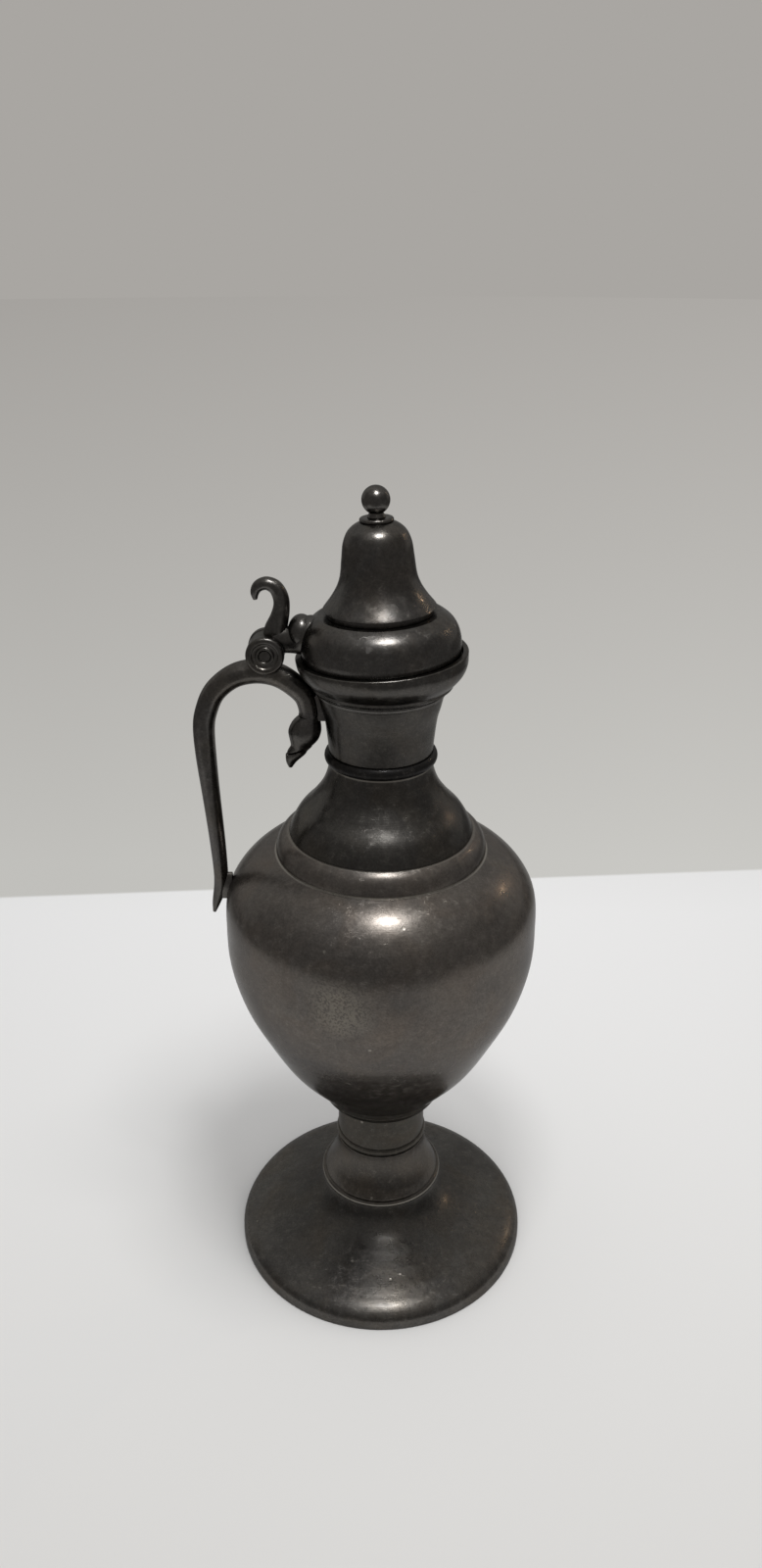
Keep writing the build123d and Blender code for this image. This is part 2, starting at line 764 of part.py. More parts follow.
# Handle from its tail over the crest to the bird's neck
grip_x = hinge_x - grip_reach
grip_z = hinge_z - grip_drop
half_thick = handle_thickness / 2
half_wide = handle_width / 2
half_tail = tail_thickness / 2
half_tail_wide = tail_width / 2
handle_route = filled([
    (tail_x - 2.7, tail_z - 12.6, 0.5, 0.6),
    (tail_x - 1.8, tail_z - 9.0, 1.3, 1.5),
    (tail_x - 0.3, tail_z - 3.2, half_tail - 0.15, half_tail_wide - 0.3),
    (tail_x, tail_z + 2.5, half_tail, half_tail_wide),
    (tail_x - 0.5, tail_z + 14.3, half_tail + 0.2, half_tail_wide + 0.2),
    (grip_x + 0.8, grip_z - 20.9, half_thick - 0.5, half_wide - 0.5),
    (grip_x + 0.1, grip_z - 9.0, half_thick - 0.15, half_wide - 0.2),
    (grip_x, grip_z, half_thick, half_wide - 0.1),
    (grip_x + 1.1, grip_z + 5.4, half_thick + 0.05, half_wide),
    (grip_x + 3.6, grip_z + 10.7, half_thick + 0.1, half_wide),
    (grip_x + 8.0, grip_z + 14.7, half_thick + 0.2, half_wide),
    (grip_x + 12.4, grip_z + 16.5, half_thick + 0.35, half_wide),
    (grip_x + 17.2, grip_z + 16.8, half_thick + 0.35, half_wide),
    (grip_x + 22.0, grip_z + 15.5, half_thick + 0.25, half_wide),
    (grip_x + 26.2, grip_z + 12.6, half_thick + 0.15, half_wide - 0.1),
    (bird_x - 1.0, bird_z + 4.0, half_thick, half_wide - 0.3),
    (bird_x, bird_z, half_thick - 0.15, half_wide - 0.4),
    (bird_x - 0.1, bird_z - 1.6, half_thick - 0.1, half_wide - 0.4),
])
with BuildPart() as handle:
    for i, (x, z, half_thickness, half_width) in enumerate(handle_route):
        with BuildSketch(station(handle_route, i)):
            Ellipse(half_width, half_thickness)
    loft()
    with BuildSketch(hinge_plane.offset(-hinge_width)):
        Circle(lug_radius)
    extrude(amount=2 * hinge_width, mode=Mode.SUBTRACT)
    with BuildSketch(hinge_plane.offset(-lug_face)):
        Circle(knuckle_radius + saddle_clearance)
    extrude(amount=2 * lug_face, mode=Mode.SUBTRACT)
handle.part.label = "handle"
export_step(handle.part, "parts/handle.step")

# Bird's head: level ellipses from the neck to the beak's tip, each x, drop, half thickness, half width
head_half_width = head_width / 2
head_route = filled([
    (bird_x - 0.1, 1.6, half_thick - 0.1, half_wide - 0.4),
    (bird_x - 0.9, 3.6, half_thick + 1.0, head_half_width - 0.3),
    (bird_x - 1.4, 6.2, half_thick + 1.6, head_half_width),
    (bird_x - 1.7, 8.8, half_thick + 1.0, head_half_width - 0.4),
    (bird_x - 2.5, 10.8, half_thick, head_half_width - 1.2),
    (bird_x - 3.8, 12.5, half_thick - 0.35, head_half_width - 1.8),
    (bird_x - 5.3, 14.9, half_thick - 1.6, head_half_width - 2.5),
    (bird_x - 5.8, 16.4, half_thick - 2.15, 0.9),
    (bird_x - 5.8, 17.6, half_thick - 2.6, 0.5),
])
with BuildPart() as bird_head:
    for x, drop, half_thickness, half_width in head_route:
        with BuildSketch(Plane(origin=(x, 0, bird_z - drop), x_dir=(0, 1, 0), z_dir=(0, 0, -1))):
            Ellipse(half_width, half_thickness)
    loft()
    add(handle.part, mode=Mode.SUBTRACT)
bird_head.part.label = "bird_head"
export_step(bird_head.part, "parts/bird_head.step")

# Solids of the throat and of the body, filled, that the solder pieces are cut against
with BuildPart() as throat_solid:
    with BuildSketch(Plane.XZ):
        with BuildLine():
            Line((0, throat_seat), throat_outline[0])
            Spline(*throat_outline)
            Polyline(throat_outline[-1], (0, cup_collar_seat), (0, throat_seat))
        make_face()
    revolve(axis=Axis.Z)
with BuildPart() as body_solid:
    with BuildSketch(Plane.XZ):
        with BuildLine():
            Line((0, body_seam), upper_body_outline[0])
            Spline(*upper_body_outline, tangents=[(0, 1), (-2.1, 1)])
            Polyline(upper_body_outline[-1], (0, shoulder_seat), (0, body_seam))
        make_face()
    revolve(axis=Axis.Z)

# Strut between the bird's neck and the throat
strut_foot = bird_z - 2.7
strut_top = bird_z + 4.6
with BuildPart() as throat_strut:
    with BuildSketch(Plane.XY.offset(strut_foot)):
        with Locations((bird_x + 4.0, 0)):
            Rectangle(6.0, strut_width)
    extrude(amount=strut_top - strut_foot)
    add(throat_solid.part, mode=Mode.SUBTRACT)
    add(handle.part, mode=Mode.SUBTRACT)
    add(bird_head.part, mode=Mode.SUBTRACT)
throat_strut.part.label = "throat_strut"
export_step(throat_strut.part, "parts/throat_strut.step")

# Solder pad between the tail and the body
with BuildPart() as tail_pad:
    pad_middle = (tail_x - 0.2, 0, tail_z + 1.0 - pad_height / 2)
    with BuildSketch(Plane(origin=pad_middle, x_dir=(0, 1, 0), z_dir=(1, 0, 0))):
        Ellipse(pad_width / 2, pad_height / 2)
    extrude(amount=3.6)
    add(body_solid.part, mode=Mode.SUBTRACT)
    add(handle.part, mode=Mode.SUBTRACT)
tail_pad.part.label = "tail_pad"
export_step(tail_pad.part, "parts/tail_pad.step")
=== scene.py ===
import json
from math import atan2, cos, hypot, pi, radians, sin, tan

import bmesh
import bpy
from mathutils import Matrix, Vector
from mathutils.geometry import interpolate_bezier


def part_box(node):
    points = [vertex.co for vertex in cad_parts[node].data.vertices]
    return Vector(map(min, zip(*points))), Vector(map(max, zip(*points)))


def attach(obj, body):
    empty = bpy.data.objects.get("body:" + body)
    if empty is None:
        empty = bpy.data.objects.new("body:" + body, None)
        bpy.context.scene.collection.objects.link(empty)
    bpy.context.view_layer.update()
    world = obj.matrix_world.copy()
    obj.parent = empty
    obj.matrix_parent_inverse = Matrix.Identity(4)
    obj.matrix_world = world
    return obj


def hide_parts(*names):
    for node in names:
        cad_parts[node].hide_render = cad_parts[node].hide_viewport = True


# Pewter jug with a hinged lid. Outlines are (radius, height) points in millimetres, and
# pieces are written in metres. The handle is on the -X side, the pouring lip on +X.

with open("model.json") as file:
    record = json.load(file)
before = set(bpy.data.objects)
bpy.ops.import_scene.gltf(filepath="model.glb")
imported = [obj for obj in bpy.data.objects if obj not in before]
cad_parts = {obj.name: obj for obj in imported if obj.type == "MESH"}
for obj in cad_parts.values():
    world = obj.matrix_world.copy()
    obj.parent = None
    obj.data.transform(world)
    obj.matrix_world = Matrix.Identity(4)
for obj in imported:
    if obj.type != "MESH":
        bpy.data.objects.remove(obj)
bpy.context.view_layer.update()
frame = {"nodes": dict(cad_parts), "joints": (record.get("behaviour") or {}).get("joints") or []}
mm = 0.001


def foot_of(node):
    """Height of a node's lowest point, in millimetres."""
    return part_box(node)[0].z / mm


# Sizes, in millimetres
wall = 1.8
lid_wall = 1.6
stem_bore = 12.3
neck_bore = 13.1
body_radius = 46.8
worn = 0.22              # how far a turned edge is worn round
turning_steps = 176      # stretches round the axis of a turned piece
curve_steps = 8          # stretches between two points of a curve

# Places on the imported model
knop_seat = foot_of("knop")
bead_seat = foot_of("stem_bead")
stem_seat = foot_of("stem")
collar_seat = foot_of("body_collar")
body_seat = foot_of("lower_body")
body_seam = foot_of("upper_body")
shoulder_seat = foot_of("shoulder_ring")
neck_seat = foot_of("neck")
ring_seat = foot_of("neck_ring")
throat_seat = foot_of("throat")
cup_collar_seat = foot_of("cup_collar")
cup_seat = foot_of("rim_cup")
hinge = Vector(frame["joints"][0]["pos_m"]) / mm
mouth_height = hinge.z - 0.3

# The rim climbs to the pouring lip, and the lid's own frame leans back to the handle
rim_slope = radians(3.0)
lid_lean = radians(2.0)
cup_shift = 0.25
lid_place = Matrix.Translation((0.1, 0, mouth_height)) @ Matrix.Rotation(-lid_lean, 4, "Y")


# Outlines

def curve(points, start=None, end=None):
    """Points along a smooth curve through the given points, with its end directions if given."""
    knots = [Vector((r, 0, z)) for r, z in points]
    ways = []
    for before, knot, after in zip(knots, knots[1:], knots[2:]):
        ways.append(((knot - before).normalized() + (after - knot).normalized()).normalized())
    first = (knots[1] - knots[0]).normalized()
    last = (knots[-1] - knots[-2]).normalized()
    way_in = Vector((start[0], 0, start[1])) if start else 2 * first - ways[0]
    way_out = Vector((end[0], 0, end[1])) if end else 2 * last - ways[-1]
    ways = [way_in.normalized()] + ways + [way_out.normalized()]
    run = []
    for i in range(len(knots) - 1):
        reach = (knots[i + 1] - knots[i]).length / 3
        near = knots[i] + ways[i] * reach
        far = knots[i + 1] - ways[i + 1] * reach
        run += interpolate_bezier(knots[i], near, far, knots[i + 1], curve_steps + 1)[:-1]
    run.append(knots[-1])
    return [(p.x, p.z) for p in run]


def arc(a, b, c, steps=8):
    """Points along the circle through three points, from the first to the last."""
    (ax, ay), (bx, by), (cx, cy) = a, b, c
    d = 2 * (ax * (by - cy) + bx * (cy - ay) + cx * (ay - by))
    la, lb, lc = ax**2 + ay**2, bx**2 + by**2, cx**2 + cy**2
    ux = (la * (by - cy) + lb * (cy - ay) + lc * (ay - by)) / d
    uy = (la * (cx - bx) + lb * (ax - cx) + lc * (bx - ax)) / d
    radius = hypot(ax - ux, ay - uy)
    angles = [atan2(y - uy, x - ux) for x, y in (a, b, c)]
    sweep = (angles[2] - angles[0]) % (2 * pi)
    if (angles[1] - angles[0]) % (2 * pi) > sweep:
        sweep -= 2 * pi
    turns = [angles[0] + sweep * i / steps for i in range(steps + 1)]
    return [(ux + radius * cos(t), uy + radius * sin(t)) for t in turns]


def inset(points, depth):
    """The points of an outline moved inwards by a wall's thickness."""
    moved = []
    for i, (r, z) in enumerate(points):
        before = points[max(i - 1, 0)]
        after = points[min(i + 1, len(points) - 1)]
        run, rise = after[0] - before[0], after[1] - before[1]
        length = hypot(run, rise)
        moved.append((r - depth * rise / length, z + depth * run / length))
    return moved


def between(foot, top, shares):
    """Points from foot to top, each by its share of the way across and of the way up."""
    reach, climb = top[0] - foot[0], top[1] - foot[1]
    return [(foot[0] + across * reach, foot[1] + up * climb) for across, up in shares]


def softened(points, closed, sharp):
    """An outline with its corners worn round, but not those at the sharp heights."""
    soft = []
    count = len(points)
    for i, here in enumerate(points):
        inner = closed or 0 < i < count - 1
        spot = Vector(here)
        way_in = spot - Vector(points[i - 1])
        way_out = Vector(points[(i + 1) % count]) - spot
        turn = way_in.angle(way_out, 0.0)
        if not inner or turn < radians(18) or any(abs(here[1] - h) < 0.01 for h in sharp):
            soft.append(here)
            continue
        cut = min(worn, way_in.length * 0.45, way_out.length * 0.45)
        start = spot - way_in.normalized() * cut
        end = spot + way_out.normalized() * cut
        for t in (0, 0.25, 0.5, 0.75, 1):
            p = start * (1 - t) ** 2 + spot * 2 * t * (1 - t) + end * t**2
            soft.append((p.x, p.y))
    return soft


# Meshes

def turned(outline, closed=True, sharp=()):
    """A mesh turned round the Z axis. An outline that isn't closed starts and ends on the axis."""
    bm = bmesh.new()
    points = [bm.verts.new((r, 0, z)) for r, z in softened(outline, closed, sharp)]
    edges = [bm.edges.new(pair) for pair in zip(points, points[1:])]
    if closed:
        edges.append(bm.edges.new((points[-1], points[0])))
    bmesh.ops.spin(
        bm, geom=points + edges, cent=(0, 0, 0), axis=(0, 0, 1), angle=2 * pi,
        steps=turning_steps, use_merge=True,
    )
    bmesh.ops.remove_doubles(bm, verts=bm.verts, dist=0.002)
    return bm


def cast(node):
    """A merged copy of a cast node's mesh, in millimetres."""
    bm = bmesh.new()
    bm.from_mesh(frame["nodes"][node].data)
    bmesh.ops.transform(bm, matrix=Matrix.Scale(1 / mm, 4), verts=bm.verts)
    bmesh.ops.remove_doubles(bm, verts=bm.verts, dist=0.004)
    bmesh.ops.dissolve_degenerate(bm, edges=bm.edges, dist=0.004)
    return bm


def piece(bm, name, body, finish, nodes, place=None, crease=radians(42)):
    """Writes a mesh in metres, lets it ride on its body and stand for its CAD nodes."""
    if place:
        bmesh.ops.transform(bm, matrix=place, verts=bm.verts)
    bmesh.ops.recalc_face_normals(bm, faces=bm.faces)
    bmesh.ops.transform(bm, matrix=Matrix.Scale(mm, 4), verts=bm.verts)
    for face in bm.faces:
        face.smooth = True
    for edge in bm.edges:
        if edge.is_manifold and edge.calc_face_angle() > crease:
            edge.smooth = False
    mesh = bpy.data.meshes.new(name)
    bm.to_mesh(mesh)
    bm.free()
    mesh.materials.append(finish)
    made = bpy.data.objects.new(name, mesh)
    bpy.context.scene.collection.objects.link(made)
    evened = made.modifiers.new("even_shading", "WEIGHTED_NORMAL")
    evened.keep_sharp = True
    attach(made, body)
    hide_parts(*nodes)
    return made


# Materials

def linear(colour, strength=1.0):
    """A hex colour such as "6b6761" as the linear colour that nodes take."""
    parts = [int(colour[i:i + 2], 16) / 255 for i in (0, 2, 4)]
    lin = [p / 12.92 if p <= 0.04045 else ((p + 0.055) / 1.055) ** 2.4 for p in parts]
    return (lin[0] * strength, lin[1] * strength, lin[2] * strength, 1.0)


def add(tree, kind, inputs=None, **settings):
    """A node with its settings; inputs maps a socket's name or number to a value or a socket."""
    made = tree.nodes.new(kind)
    for name, value in settings.items():
        setattr(made, name, value)
    for key, value in (inputs or {}).items():
        if isinstance(value, bpy.types.NodeSocket):
            tree.links.new(value, made.inputs[key])
        else:
            made.inputs[key].default_value = value
    return made


def new_tree(name, slot=None):
    """A material with an empty node tree, and its output node."""
    made = bpy.data.materials.new(name)
    made.use_nodes = True
    made.node_tree.nodes.clear()
    if slot:
        made["slot"] = slot
    return made, made.node_tree, add(made.node_tree, "ShaderNodeOutputMaterial")


def maths(tree, work, *values):
    """The result of a maths node on one to three values."""
    return add(tree, "ShaderNodeMath", dict(enumerate(values)), operation=work).outputs[0]


def ranged(tree, value, low, high, to_low=0.0, to_high=1.0, kind="LINEAR"):
    """A value taken from one range to another, and kept inside it."""
    ends = {"Value": value, "From Min": low, "From Max": high, "To Min": to_low, "To Max": to_high}
    return add(tree, "ShaderNodeMapRange", ends, interpolation_type=kind).outputs[0]


def blend(tree, share, first, second, kind="MIX"):
    """Two colours mixed by a share."""
    ends = {0: share, 6: first, 7: second}
    return add(tree, "ShaderNodeMix", ends, data_type="RGBA", blend_type=kind).outputs[2]


def noise(tree, where, scale, detail, roughness=0.5, distortion=0.0):
    """A noise pattern, about 1 / scale metres across."""
    ends = {"Vector": where, "Scale": scale, "Detail": detail}
    ends.update({"Roughness": roughness, "Distortion": distortion})
    return add(tree, "ShaderNodeTexNoise", ends).outputs[0]


def hairs(tree, where, tilt):
    """Fine scratches that run one way: thin lines where a stretched noise crosses its middle."""
    way = add(tree, "ShaderNodeMapping", {"Vector": where, "Rotation": tilt, "Scale": (9, 110, 110)})
    off = maths(tree, "SUBTRACT", noise(tree, way.outputs[0], 6, 3, 0.7), 0.5)
    return ranged(tree, maths(tree, "ABSOLUTE", off), 0, 0.006, 1, 0)


def pewter(
    name, slot, colours, lean=0.0, turning=1.0, bare=1.0, dull=0.36, axis_shade=1.0, polish=0.0,
    highlight_lines=(), patch=None,
):
    """Old dark pewter, a satin metal with a clouded patina, fine lines, scratches and bright nicks.

    The colours are the dark, the pale and the warm one. lean is the tilt of a piece's own axis,
    turning the depth of its lathe lines, bare how little film dulls the metal, dull its roughness,
    axis_shade how dark the painted shade is by the axis, and polish how much smoother it is under the
    belly.
    highlight_lines holds a height, a reach and a strength for each painted highlight line, and patch is the
    place of a worn spot.
    """
    made, tree, out = new_tree(name, slot)
    coords = add(tree, "ShaderNodeTexCoord").outputs["Object"]
    spot = add(tree, "ShaderNodeMapping", {"Vector": coords, "Rotation": (0, lean, 0)}).outputs[0]

    # Clouds of patina 20 mm across, warmer ones of 13 mm, specks of 2.4 mm and pores of 0.7 mm
    clouds = noise(tree, spot, 48, 5, 0.55)
    warmth = noise(tree, spot, 75, 3, distortion=0.6)
    specks = noise(tree, spot, 420, 4, 0.65)
    pores = noise(tree, spot, 1500, 2, 0.6)
    cloud = ranged(tree, clouds, 0.36, 0.64)
    speck = ranged(tree, specks, 0.3, 0.7)

    # Turning lines: rings about 0.25 mm apart that the lathe left
    part = add(tree, "ShaderNodeSeparateXYZ", {"Vector": spot})
    along = maths(tree, "MULTIPLY", part.outputs[0], part.outputs[0])
    aside = maths(tree, "MULTIPLY", part.outputs[1], part.outputs[1])
    radius = maths(tree, "SQRT", maths(tree, "ADD", along, aside))
    ring = add(tree, "ShaderNodeCombineXYZ", {0: radius, 2: part.outputs[2]})
    lines = noise(tree, ring.outputs[0], 2600, 2, 0.6)

    # Scratches in three directions, where the specks are
    scratch = hairs(tree, spot, (0.5, 0.2, 0.3))
    for tilt in ((-0.7, 0.5, 1.9), (1.2, -0.4, 0.9)):
        scratch = maths(tree, "MAXIMUM", scratch, hairs(tree, spot, tilt))
    scratch = maths(tree, "MULTIPLY", scratch, ranged(tree, specks, 0.5, 0.62))

    # Small bright nicks, about 0.5 mm across and few
    dots = add(tree, "ShaderNodeTexVoronoi", {"Vector": spot, "Scale": 330})
    near = ranged(tree, dots.outputs["Distance"], 0.1, 0.2, 1, 0)
    chosen = add(tree, "ShaderNodeSeparateXYZ", {"Vector": dots.outputs["Color"]})
    few = maths(tree, "GREATER_THAN", chosen.outputs[0], 0.975)
    nick = maths(tree, "MULTIPLY", near, few)

    # Colour: dark patina, paler where it's worn, warm in places, and painted shade in the corners
    base = blend(tree, cloud, linear(colours[0]), linear(colours[1]))
    amount = maths(tree, "MULTIPLY", ranged(tree, warmth, 0.45, 0.75), 0.5)
    base = blend(tree, amount, base, linear(colours[2]))
    base = blend(tree, 1.0, base, ranged(tree, speck, 0, 1, 0.88, 1.1), "MULTIPLY")
    base = blend(tree, 1.0, base, ranged(tree, pores, 0.35, 0.65, 0.86, 1.1), "MULTIPLY")
    base = blend(tree, maths(tree, "MULTIPLY", scratch, 0.35), base, linear("a8a399"))
    base = blend(tree, maths(tree, "MULTIPLY", nick, 0.4), base, linear("b5b0a6"))
    # Painted shade: the colour is darkened where the surface is occluded, in corners and creases
    corner = add(tree, "ShaderNodeAmbientOcclusion", {"Distance": 0.0015}, samples=8, only_local=False)
    corner_shade = ranged(tree, corner.outputs["AO"], 0.2, 0.8, 0.6, 1)
    base = blend(tree, 1.0, base, corner_shade, "MULTIPLY")

    # Painted shade: the middle of a spreading piece is made darker towards its axis, where the pieces above
    # shade it
    base = blend(tree, 1.0, base, ranged(tree, radius, 0.019, 0.044, axis_shade, 1), "MULTIPLY")

    # One patch where the patina has worn through to paler, pitted metal
    if patch:
        away = add(tree, "ShaderNodeVectorMath", {0: spot, 1: patch}, operation="DISTANCE").outputs["Value"]
        ragged = maths(tree, "MULTIPLY_ADD", clouds, -0.018, away)
        bald = ranged(tree, ragged, -0.006, 0.002, 0.45, 0)
        bald = maths(tree, "MULTIPLY", bald, ranged(tree, pores, 0.42, 0.5, -0.5, 1))
        base = blend(tree, bald, base, linear("8a857a"))

    # Painted highlights: bright lines drawn on edges and solder lines at some heights
    for height, reach, strength in highlight_lines:
        off = maths(tree, "ABSOLUTE", maths(tree, "ADD", part.outputs[2], -height * mm))
        line = ranged(tree, off, 0.5 * reach * mm, reach * mm, strength, 0)
        base = blend(tree, line, base, linear("a29e96"))

    # Roughness: satin, duller where the patina is dark, smoother under the belly
    rough = ranged(tree, cloud, 0, 1, dull, dull - 0.04)
    rough = maths(tree, "MULTIPLY_ADD", speck, 0.07, rough)
    rough = maths(tree, "ADD", rough, ranged(tree, part.outputs[2], 0.082, 0.105, -polish, 0))

    # Relief of the lines, the grain and the marks
    height = maths(tree, "MULTIPLY", lines, 0.5 * turning)
    height = maths(tree, "MULTIPLY_ADD", specks, 1.1, height)
    height = maths(tree, "MULTIPLY_ADD", scratch, -0.35, height)
    height = maths(tree, "MULTIPLY_ADD", nick, -0.8, height)
    relief = add(tree, "ShaderNodeBump", {"Height": height, "Strength": 0.5, "Distance": 0.00006})

    # The thin film of handling over the metal gives small lamps a sharp glint
    surface = add(tree, "ShaderNodeBsdfPrincipled", {
        "Base Color": base,
        "Metallic": bare,
        "Roughness": rough,
        "Normal": relief.outputs[0],
        "Specular Tint": (0.5, 0.5, 0.5, 1),
        "Coat Weight": 0.1,
        "Coat Roughness": 0.08,
    })
    tree.links.new(surface.outputs[0], out.inputs["Surface"])
    return made


# Body: turned pewter that hands have rubbed to a warm mid grey, with broad soft highlights,
# one bald patch on the belly and painted highlight lines at the shoulder's solder joints
body_pewter = pewter(
    "body_pewter", "turned_pewter", ("5d5956", "68635e", "6a6057"), bare=0.88, dull=0.29, polish=0.09,
    highlight_lines=((shoulder_seat, 0.3, 0.65), (neck_seat, 0.3, 0.2)), patch=(-0.0115, -0.0445, 0.12),
)

# Foot: turned pewter, darker than the body, with painted shade making it near black in the hollow around
# the knop
foot_pewter = pewter(
    "foot_pewter", "turned_pewter", ("504e4c", "5d5b58", "5c554c"), bare=0.95, dull=0.28, axis_shade=0.66,
)

# Knop: turned pewter with brown patina and a painted highlight along its lip
knop_pewter = pewter(
    "knop_pewter", "turned_pewter", ("4b4845", "595550", "5c5348"), bare=0.95, dull=0.3,
    highlight_lines=((knop_seat + 0.9, 1.0, 0.6),),
)

# Neck ring: turned pewter in a near black tone, so it stands out as a dark band
ring_pewter = pewter(
    "ring_pewter", "turned_pewter", ("2b2a2a", "343332", "332f2a"), bare=0.9, dull=0.45,
)

# Bead, stem and collar: turned pewter that few hands reach, dull and brownish
stem_pewter = pewter(
    "stem_pewter", "turned_pewter", ("45433f", "524f4a", "544b40"), bare=0.9, dull=0.4,
)

# Neck and rim cup: dark turned pewter with clearer reflections and a painted highlight line below the ring
neck_pewter = pewter(
    "neck_pewter", "turned_pewter", ("4e4c4a", "595754", "59534a"), dull=0.28,
    highlight_lines=((ring_seat - 0.2, 0.5, 0.7),),
)

# Throat: the same pewter, a shade darker between the ring and the cup
throat_pewter = pewter(
    "throat_pewter", "turned_pewter", ("444240", "4e4c49", "4f4941"), dull=0.28,
)

# Lid and cup collar: turned pewter, its patina thin, with the jug's crispest highlights
lid_pewter = pewter(
    "lid_pewter", "turned_pewter", ("555351", "62605e", "615a52"), lean=lid_lean, dull=0.26,
)

# Handle, hinge and thumbpiece: cast and filed pewter, so without turning lines, satin from hands
cast_pewter = pewter(
    "cast_pewter", "cast_pewter", ("555350", "636160", "645d53"), turning=0.0, dull=0.28,
)


# Foot, knop, bead, stem and collar
foot_side = between(
    (47.6, 1.4), (16.4, knop_seat),
    [(0, 0), (0.007, 0.069), (0.038, 0.139), (0.109, 0.208), (0.228, 0.275), (0.436, 0.377),
     (0.628, 0.481), (0.804, 0.602), (0.917, 0.736), (0.974, 0.87), (1, 1)],
)
foot_inside = inset(foot_side, wall)
foot = turned(
    [(45.7, 0), (47.4, 0), (47.6, 0.3)]
    + curve(foot_side, start=(0, 1), end=(-0.2, 1))
    + [(14.16, knop_seat)]
    + curve(foot_inside)[::-1]
    + [(45.7, 0.6)]
)
piece(foot, "turned_foot", "jug", foot_pewter, ["foot"])

lip_top = knop_seat + 2.2
knop_side = [(18.7, lip_top + 0.35), (17.8, lip_top + 2.2), (16.4, lip_top + 5), (15.3, lip_top + 8),
             (14.6, bead_seat - 3.6), (14.5, bead_seat)]
knop = turned(
    [(14.16, knop_seat)]
    + arc((18.8, knop_seat), (19.9, knop_seat + 1.1), (18.7, lip_top))
    + curve(knop_side)
    + [(stem_bore, bead_seat), (stem_bore, knop_seat + 2.5)]
)
piece(knop, "turned_knop", "jug", knop_pewter, ["knop"])

bead = turned(
    [(stem_bore, bead_seat)]
    + arc((14.2, bead_seat), (14.7, bead_seat + 1.3), (14.2, stem_seat))
    + [(stem_bore, stem_seat)]
)
piece(bead, "turned_bead", "jug", stem_pewter, ["stem_bead"])

stem = turned([(stem_bore, stem_seat), (14.1, stem_seat), (14.1, collar_seat), (stem_bore, collar_seat)])
piece(stem, "turned_stem", "jug", stem_pewter, ["stem"])

collar = turned(
    [(stem_bore, collar_seat)]
    + arc((17.8, collar_seat), (18.85, collar_seat + 1.4), (19.5, collar_seat + 2.7))
    + [(19.2, collar_seat + 2.95), (19.85, collar_seat + 3.2), (20.9, body_seat)]
    + [(stem_bore, body_seat)]
)
piece(collar, "turned_collar", "jug", stem_pewter, ["body_collar"])

# Body: both shells share one hollow
lower_side = between(
    (21.9, body_seat), (body_radius, body_seam),
    [(0, 0), (0.373, 0.19), (0.633, 0.384), (0.86, 0.587), (0.987, 0.797), (1, 1)],
)
upper_side = between(
    (body_radius, body_seam), (31.0, shoulder_seat),
    [(0, 0), (0.057, 0.368), (0.266, 0.628), (0.601, 0.848), (1, 1)],
)
lower_inside = curve(inset(lower_side, wall), end=(0, 1))
upper_inside = curve(inset(upper_side[:-1], wall) + [(27.8, shoulder_seat - 0.6)], start=(0, 1))
floor_top = body_seat + 2.4
lower_body = turned(
    [(0, body_seat)]
    + curve(lower_side, start=(1, 1.3), end=(0, 1))
    + [p for p in lower_inside if p[1] > floor_top + 0.5][::-1]
    + [(21.4, floor_top), (0, floor_top)],
    closed=False,
    sharp=(body_seam,),
)
piece(lower_body, "turned_lower_body", "jug", body_pewter, ["lower_body"])

upper_body = turned(
    curve(upper_side, start=(0, 1), end=(-2.1, 1)) + [(27.56, shoulder_seat)] + upper_inside[::-1],
    sharp=(body_seam, shoulder_seat),
)
piece(upper_body, "turned_upper_body", "jug", body_pewter, ["upper_body"])

shoulder = turned(
    arc((31.0, shoulder_seat), (30.0, shoulder_seat + 3.72), (27.4, neck_seat), 16)
    + [(25.0, neck_seat), (25.4, neck_seat - 0.8), (27.56, shoulder_seat)],
    sharp=(shoulder_seat,),
)
piece(shoulder, "turned_shoulder_ring", "jug", body_pewter, ["shoulder_ring"])

# Neck, ring, throat and collar
neck_side = between(
    (27.0, neck_seat), (14.9, ring_seat),
    [(0, 0), (0.231, 0.253), (0.554, 0.452), (0.826, 0.668), (0.967, 0.876), (1, 1)],
)
neck_hollow = curve(inset(neck_side[:-1], wall) + [(neck_bore, ring_seat)])
neck_inside = [p for p in neck_hollow if p[1] > neck_seat + 0.3]
neck = turned(curve(neck_side) + neck_inside[::-1] + [(25.0, neck_seat)])
piece(neck, "turned_neck", "jug", neck_pewter, ["neck"])

neck_ring = turned(
    [(neck_bore, ring_seat)]
    + arc((15.2, ring_seat), (16.2, ring_seat + 1.75), (15.2, throat_seat))
    + [(neck_bore, throat_seat)]
)
piece(neck_ring, "turned_neck_ring", "jug", ring_pewter, ["neck_ring"])

throat_side = [(14.9, throat_seat), (15.3, throat_seat + 4.5), (16.1, throat_seat + 10.5),
               (17.1, cup_collar_seat - 3.4), (17.8, cup_collar_seat)]
throat_inside = curve(
    [(neck_bore, throat_seat)] + inset(throat_side[1:-1], wall) + [(16.0, cup_collar_seat)]
)
throat = turned(curve(throat_side) + throat_inside[::-1])
piece(throat, "turned_throat", "jug", throat_pewter, ["throat"])

line_height = cup_collar_seat + 1.2
cup_collar = turned(
    [(16.0, cup_collar_seat), (18.2, cup_collar_seat), (18.42, line_height - 0.25)]
    + arc((18.42, line_height - 0.25), (18.25, line_height), (18.6, line_height + 0.2), 6)[1:]
    + [(19.4, cup_seat), (16.0, cup_seat)]
)
piece(cup_collar, "turned_cup_collar", "jug", lid_pewter, ["cup_collar"])

